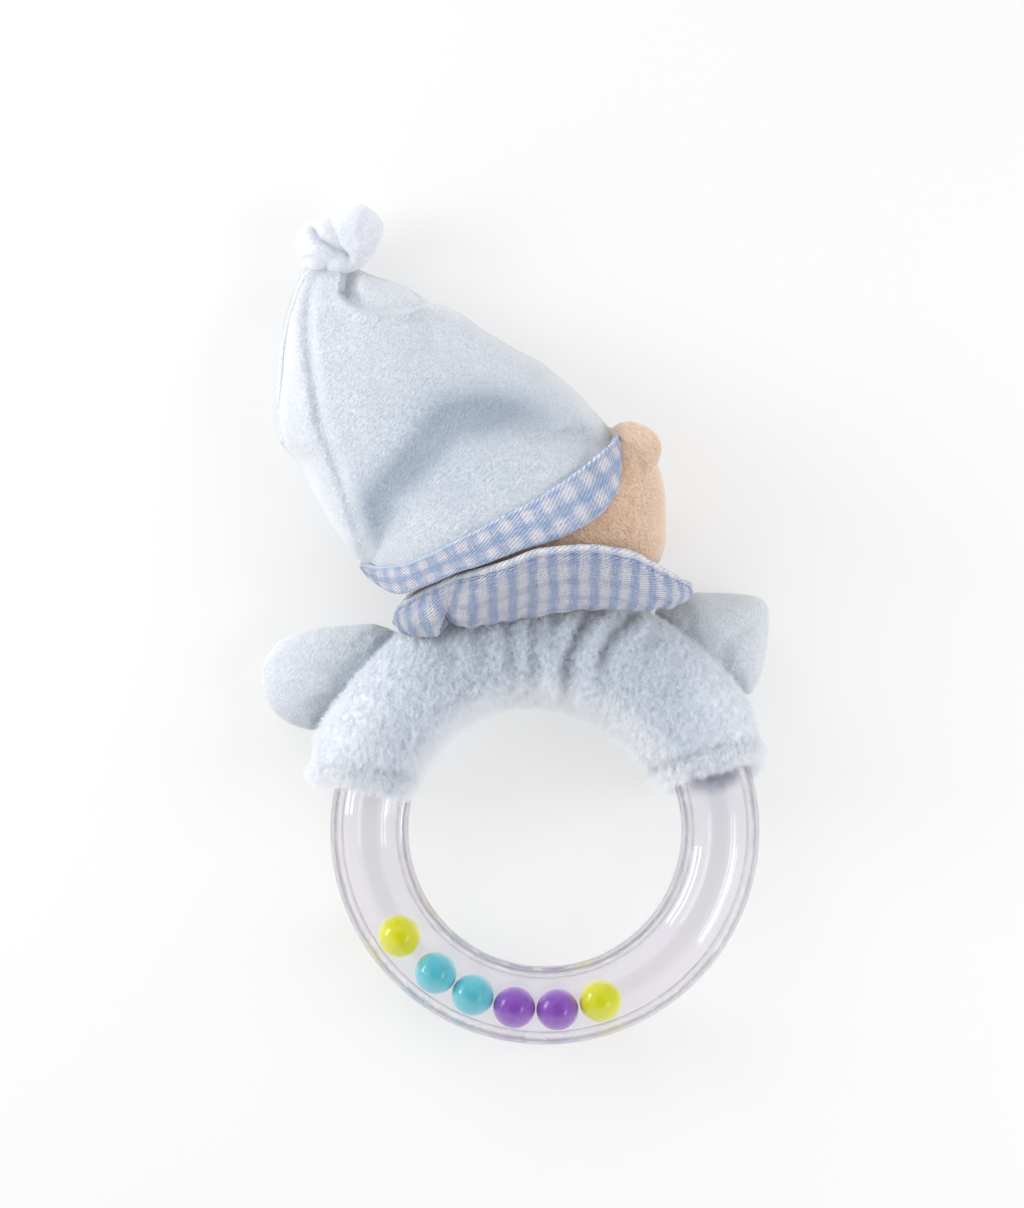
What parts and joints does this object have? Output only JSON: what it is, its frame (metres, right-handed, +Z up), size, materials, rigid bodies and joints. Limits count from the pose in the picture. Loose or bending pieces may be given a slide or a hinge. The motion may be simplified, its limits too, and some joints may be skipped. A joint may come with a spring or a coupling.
{
  "type": "teething ring",
  "caption": "Clear hollow ring rattle with loose coloured beads, held by a plush bear body, head and long knotted cap.",
  "frame": {"origin": "centre of the toy's footprint, on the table it lies face down on", "axes": "+Y from the ring towards the cap, +Z up out of the toy's back, +X to the toy's right as seen from behind"},
  "size_m": [0.1056, 0.1764, 0.0397],
  "materials": {
    "ring_clear": "clear, glossy",
    "bead_yellow": "glossy, slightly translucent",
    "bead_teal": "glossy, slightly translucent",
    "bead_purple": "glossy, slightly translucent",
    "plush_blue": "long pile plush",
    "velour_blue": "short pile velour",
    "velour_beige": "short pile velour",
    "velour_cream": "short pile velour",
    "gingham": "woven cotton, blue and white check",
    "stitching": "embroidery thread",
    "wadding": "polyester fibre fill"
  },
  "bodies": {
    "torso": {"body_back_panel": "plush_blue", "body_front_panel": "plush_blue", "body_padding": "wadding", "cuff_hem_left": "plush_blue", "cuff_hem_right": "plush_blue"},
    "ring": {"ring_shell_upper": "ring_clear", "ring_shell_lower": "ring_clear"},
    "purple_bead_left": {"bead_purple_left": "bead_purple"},
    "purple_bead_right": {"bead_purple_right": "bead_purple"},
    "yellow_bead_right": {"bead_yellow_right": "bead_yellow"},
    "teal_bead_right": {"bead_teal_right": "bead_teal"},
    "teal_bead_left": {"bead_teal_left": "bead_teal"},
    "yellow_bead_left": {"bead_yellow_left": "bead_yellow"},
    "head": {"head_cover": "velour_beige", "head_stuffing": "wadding", "muzzle": "velour_cream", "nose": "stitching", "mouth_stitch": "stitching", "eye_left": "stitching", "eye_right": "stitching", "ear_left": "velour_beige", "ear_right": "velour_beige", "hat_back_panel": "velour_blue", "hat_front_panel": "velour_blue", "hat_band": "gingham", "collar": "gingham"},
    "hat_tip": {"hat_knot": "velour_blue", "hat_tip_end": "velour_blue"},
    "arm_left": {"arm_left_cover": "velour_blue", "arm_left_stuffing": "wadding"},
    "arm_right": {"arm_right_cover": "velour_blue", "arm_right_stuffing": "wadding"}
  },
  "joints": [
    {"name": "ring_turns_in_sleeve", "type": "hinge", "parent": "torso", "child": "ring", "pos_m": [0.00617, -0.04323, 0.0098], "axis": [0, 0, 1], "continuous": true},
    {"name": "beads_roll_round_ring", "type": "hinge", "parent": "ring", "child": "purple_bead_left", "pos_m": [0.00617, -0.04323, 0.00915], "axis": [0, 0, 1], "continuous": true},
    {"name": "purple_bead_right_rolls", "type": "hinge", "parent": "purple_bead_left", "child": "purple_bead_right", "pos_m": [0.00617, -0.04323, 0.00915], "axis": [0, 0, 1], "range_deg": [0, 50]},
    {"name": "yellow_bead_right_rolls", "type": "hinge", "parent": "purple_bead_right", "child": "yellow_bead_right", "pos_m": [0.00617, -0.04323, 0.00915], "axis": [0, 0, 1], "range_deg": [0, 50]},
    {"name": "teal_bead_right_rolls", "type": "hinge", "parent": "purple_bead_left", "child": "teal_bead_right", "pos_m": [0.00617, -0.04323, 0.00915], "axis": [0, 0, 1], "range_deg": [-50, 0]},
    {"name": "teal_bead_left_rolls", "type": "hinge", "parent": "teal_bead_right", "child": "teal_bead_left", "pos_m": [0.00617, -0.04323, 0.00915], "axis": [0, 0, 1], "range_deg": [-50, 0]},
    {"name": "yellow_bead_left_rolls", "type": "hinge", "parent": "teal_bead_left", "child": "yellow_bead_left", "pos_m": [0.00617, -0.04323, 0.00915], "axis": [0, 0, 1], "range_deg": [-50, 2.4]},
    {"name": "head_tilt", "type": "hinge", "parent": "torso", "child": "head", "pos_m": [0.00517, 0.00677, 0.018], "axis": [0, 0, 1], "range_deg": [-8, 8]},
    {"name": "hat_tip_swing", "type": "hinge", "parent": "head", "child": "hat_tip", "pos_m": [-0.03843, 0.07457, 0.0084], "axis": [0, 0, 1], "range_deg": [-30, 30]},
    {"name": "arm_left_swing", "type": "hinge", "parent": "torso", "child": "arm_left", "pos_m": [-0.02833, -0.00173, 0.007], "axis": [0, 0, -1], "range_deg": [0, 25]},
    {"name": "arm_right_swing", "type": "hinge", "parent": "torso", "child": "arm_right", "pos_m": [0.03067, 0.00307, 0.007], "axis": [0, 0, 1], "range_deg": [0, 25]}
  ]
}
